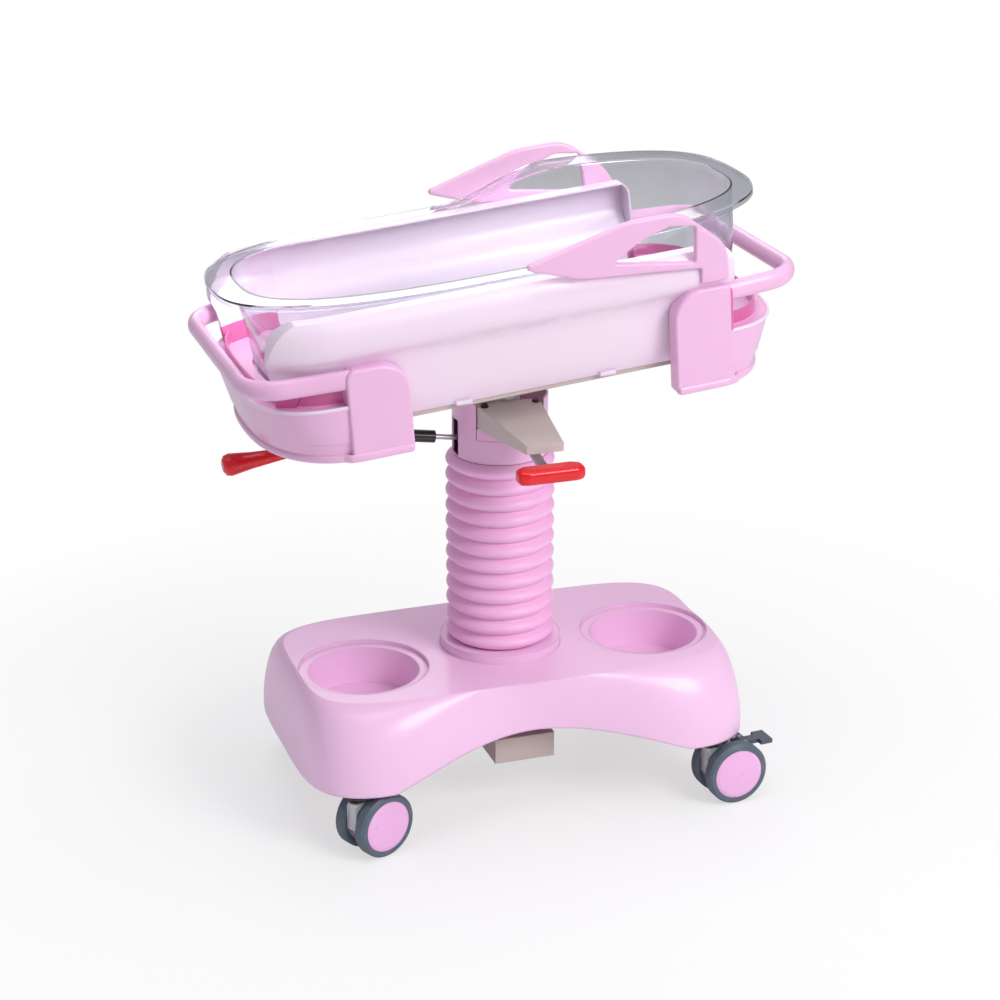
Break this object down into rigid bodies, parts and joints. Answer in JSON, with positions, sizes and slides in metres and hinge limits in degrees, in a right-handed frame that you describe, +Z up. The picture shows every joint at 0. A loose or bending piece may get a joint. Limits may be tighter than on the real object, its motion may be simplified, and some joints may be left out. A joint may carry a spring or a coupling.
{
  "type": "hospital bassinet",
  "caption": "Hospital bassinet: clear tub in a tilting pink cradle with handles and side guards, on a bellows-covered lifting column over a lobed base with casters.",
  "frame": {"origin": "on the floor, under the axis of the lifting column", "axes": "+Z up; +X towards the head end, where the tub rim is high; -Y is the side with the height lever"},
  "size_m": [0.8473, 0.4884, 0.9598],
  "materials": {
    "pink_cover": "gloss",
    "pink_shell": "gloss",
    "pale_panel": "gloss",
    "pink_bellows": "satin",
    "clear_tub": "clear gloss",
    "red_grip": "gloss",
    "painted_steel": "satin",
    "grey_bracket": "satin",
    "steel": "satin",
    "black_steel": "satin",
    "deck_board": "matte",
    "bush_plastic": "matte",
    "grey_tread": "matte",
    "pink_hub": "gloss",
    "caster_grey": "satin",
    "pedal_black": "satin"
  },
  "bodies": {
    "base": {"base_cover": "pink_cover", "base_frame": "painted_steel", "base_channel": "painted_steel", "outer_tube": "steel", "guide_bush": "bush_plastic", "lift_spring_cylinder": "black_steel", "bellows": "pink_bellows", "base_screws": "steel", "caster_stems": "black_steel"},
    "column_head": {"inner_tube": "steel", "lift_spring_rod": "steel", "column_sleeve": "pink_shell", "head_bracket": "grey_bracket", "pivot_bolt": "steel"},
    "height_lever": {"height_lever_arm": "steel", "height_paddle": "red_grip"},
    "cradle": {"cradle_frame": "painted_steel", "deck_panel": "deck_board", "end_shell_foot": "pink_shell", "end_shell_head": "pink_shell", "handle_foot": "pink_shell", "handle_head": "pink_shell", "side_panel_right": "pale_panel", "side_panel_left": "pale_panel", "guard_right": "pink_shell", "guard_left": "pink_shell"},
    "tilt_lever": {"tilt_lever_rod": "steel", "tilt_lever_grip": "red_grip"},
    "spring_tube": {"tilt_spring_cylinder": "black_steel"},
    "spring_rod": {"tilt_spring_rod": "steel"},
    "tub_body": {"tub": "clear_tub"},
    "caster_foot_right": {"caster_housing_foot_right": "caster_grey"},
    "wheel_foot_right_outer": {"caster_tread_foot_right_outer": "grey_tread", "caster_hub_foot_right_outer": "pink_hub"},
    "wheel_foot_right_inner": {"caster_tread_foot_right_inner": "grey_tread", "caster_hub_foot_right_inner": "pink_hub"},
    "caster_foot_left": {"caster_housing_foot_left": "caster_grey"},
    "wheel_foot_left_outer": {"caster_tread_foot_left_outer": "grey_tread", "caster_hub_foot_left_outer": "pink_hub"},
    "wheel_foot_left_inner": {"caster_tread_foot_left_inner": "grey_tread", "caster_hub_foot_left_inner": "pink_hub"},
    "pedal_foot_left": {"brake_pedal_foot_left": "pedal_black"},
    "caster_head_right": {"caster_housing_head_right": "caster_grey"},
    "wheel_head_right_outer": {"caster_tread_head_right_outer": "grey_tread", "caster_hub_head_right_outer": "pink_hub"},
    "wheel_head_right_inner": {"caster_tread_head_right_inner": "grey_tread", "caster_hub_head_right_inner": "pink_hub"},
    "pedal_head_right": {"brake_pedal_head_right": "pedal_black"},
    "caster_head_left": {"caster_housing_head_left": "caster_grey"},
    "wheel_head_left_outer": {"caster_tread_head_left_outer": "grey_tread", "caster_hub_head_left_outer": "pink_hub"},
    "wheel_head_left_inner": {"caster_tread_head_left_inner": "grey_tread", "caster_hub_head_left_inner": "pink_hub"}
  },
  "joints": [
    {"name": "lift", "type": "slide", "parent": "base", "child": "column_head", "axis": [0, 0, 1], "range_m": [-0.15, 0], "deforming": ["bellows"]},
    {"name": "height_lever_hinge", "type": "hinge", "parent": "column_head", "child": "height_lever", "pos_m": [0, -0.112, 0.597], "axis": [1, 0, 0], "range_deg": [0, 10], "stiffness_Nm_per_rad": 3, "springref_deg": -14.32},
    {"name": "tilt", "type": "hinge", "parent": "column_head", "child": "cradle", "pos_m": [0, 0, 0.65], "axis": [0, -1, 0], "range_deg": [-17.5, 6.5]},
    {"name": "tilt_lever_hinge", "type": "hinge", "parent": "cradle", "child": "tilt_lever", "pos_m": [-0.29498, 0, 0.58342], "axis": [0, 1, 0], "range_deg": [0, 10], "stiffness_Nm_per_rad": 3, "springref_deg": -14.32},
    {"name": "spring_foot_hinge", "type": "hinge", "parent": "cradle", "child": "spring_tube", "pos_m": [-0.33009, 0, 0.6142], "axis": [0, -1, 0], "range_deg": [-2.2, 1.1]},
    {"name": "spring_rod_slide", "type": "slide", "parent": "spring_tube", "child": "spring_rod", "axis": [0.9887, 0, -0.15], "range_m": [-0.012, 0.029]},
    {"name": "tub_lift_off", "type": "slide", "parent": "cradle", "child": "tub_body", "axis": [-0.0958, 0, 0.9954], "range_m": [0, 0.2]},
    {"name": "swivel_foot_right", "type": "hinge", "parent": "base", "child": "caster_foot_right", "pos_m": [-0.286, -0.192, 0.08], "axis": [0, 0, 1], "continuous": true},
    {"name": "roll_foot_right_outer", "type": "hinge", "parent": "caster_foot_right", "child": "wheel_foot_right_outer", "pos_m": [-0.26023, -0.18106, 0.05], "axis": [-0.3907, 0.9205, 0], "continuous": true},
    {"name": "roll_foot_right_inner", "type": "hinge", "parent": "caster_foot_right", "child": "wheel_foot_right_inner", "pos_m": [-0.26023, -0.18106, 0.05], "axis": [-0.3907, 0.9205, 0], "continuous": true},
    {"name": "swivel_foot_left", "type": "hinge", "parent": "base", "child": "caster_foot_left", "pos_m": [-0.286, 0.192, 0.08], "axis": [0, 0, 1], "continuous": true},
    {"name": "roll_foot_left_outer", "type": "hinge", "parent": "caster_foot_left", "child": "wheel_foot_left_outer", "pos_m": [-0.25861, 0.19782, 0.05], "axis": [-0.2079, 0.9781, 0], "continuous": true},
    {"name": "roll_foot_left_inner", "type": "hinge", "parent": "caster_foot_left", "child": "wheel_foot_left_inner", "pos_m": [-0.25861, 0.19782, 0.05], "axis": [-0.2079, 0.9781, 0], "continuous": true},
    {"name": "brake_foot_left", "type": "hinge", "parent": "caster_foot_left", "child": "pedal_foot_left", "pos_m": [-0.24101, 0.20156, 0.0875], "axis": [-0.2079, 0.9781, 0], "range_deg": [0, 10]},
    {"name": "swivel_head_right", "type": "hinge", "parent": "base", "child": "caster_head_right", "pos_m": [0.286, -0.192, 0.08], "axis": [0, 0, 1], "continuous": true},
    {"name": "roll_head_right_outer", "type": "hinge", "parent": "caster_head_right", "child": "wheel_head_right_outer", "pos_m": [0.31389, -0.18956, 0.05], "axis": [-0.0872, 0.9962, 0], "continuous": true},
    {"name": "roll_head_right_inner", "type": "hinge", "parent": "caster_head_right", "child": "wheel_head_right_inner", "pos_m": [0.31389, -0.18956, 0.05], "axis": [-0.0872, 0.9962, 0], "continuous": true},
    {"name": "brake_head_right", "type": "hinge", "parent": "caster_head_right", "child": "pedal_head_right", "pos_m": [0.33182, -0.18799, 0.0875], "axis": [-0.0872, 0.9962, 0], "range_deg": [0, 10]},
    {"name": "swivel_head_left", "type": "hinge", "parent": "base", "child": "caster_head_left", "pos_m": [0.286, 0.192, 0.08], "axis": [0, 0, 1], "continuous": true},
    {"name": "roll_head_left_outer", "type": "hinge", "parent": "caster_head_left", "child": "wheel_head_left_outer", "pos_m": [0.31373, 0.1959, 0.05], "axis": [-0.1392, 0.9903, 0], "continuous": true},
    {"name": "roll_head_left_inner", "type": "hinge", "parent": "caster_head_left", "child": "wheel_head_left_inner", "pos_m": [0.31373, 0.1959, 0.05], "axis": [-0.1392, 0.9903, 0], "continuous": true}
  ],
  "couplings": [
    {"joint": "spring_foot_hinge", "follows": "tilt", "ratio": 0.1036},
    {"joint": "spring_rod_slide", "follows": "tilt", "m_per_rad": -0.08754}
  ]
}
